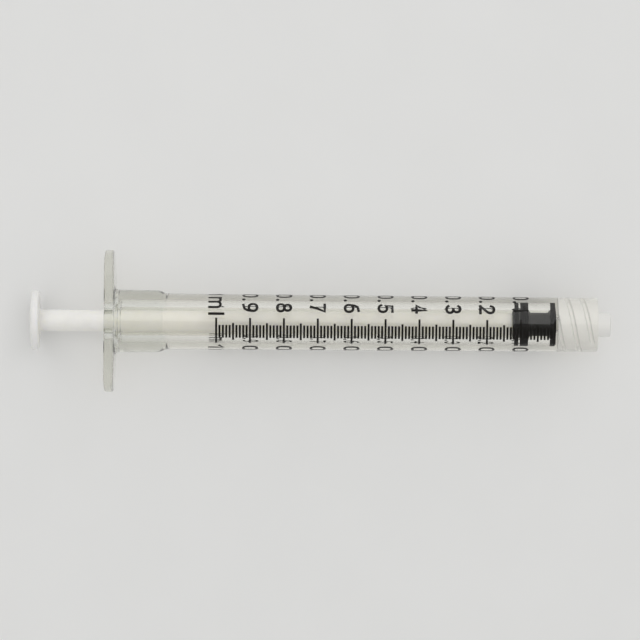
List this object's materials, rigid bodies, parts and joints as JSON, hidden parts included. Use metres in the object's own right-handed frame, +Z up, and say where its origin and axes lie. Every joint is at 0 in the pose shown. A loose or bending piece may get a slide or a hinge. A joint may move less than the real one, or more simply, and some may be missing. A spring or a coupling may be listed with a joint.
{
  "type": "luer-lock syringe",
  "caption": "Slim clear syringe with a finger flange and a threaded luer-lock collar; its white plunger rod and rubber stopper slide in the bore.",
  "frame": {"origin": "under the middle of the syringe's length, on the plane that the flat side of the finger flange rests on", "axes": "+X along the syringe from the thumb disc to the tip, +Y along the long side of the finger flange, +Z up, away from the flat side that it rests on"},
  "size_m": [0.096, 0.0234, 0.012],
  "materials": {
    "barrel": "clear moulded polypropylene, glossy",
    "plunger": "white moulded polyethylene, satin",
    "rubber": "dark grey synthetic rubber, lubricated"
  },
  "bodies": {
    "barrel": {"barrel": "barrel"},
    "stopper": {"stopper": "rubber"},
    "plunger_rod": {"plunger_rod": "plunger"}
  },
  "joints": [
    {"name": "plunger_slide", "type": "slide", "parent": "barrel", "child": "stopper", "axis": [-1, 0, 0], "range_m": [0, 0.06435]},
    {"name": "rod_turn", "type": "hinge", "parent": "stopper", "child": "plunger_rod", "pos_m": [0.0318, 0, 0.006], "axis": [1, 0, 0], "continuous": true}
  ]
}
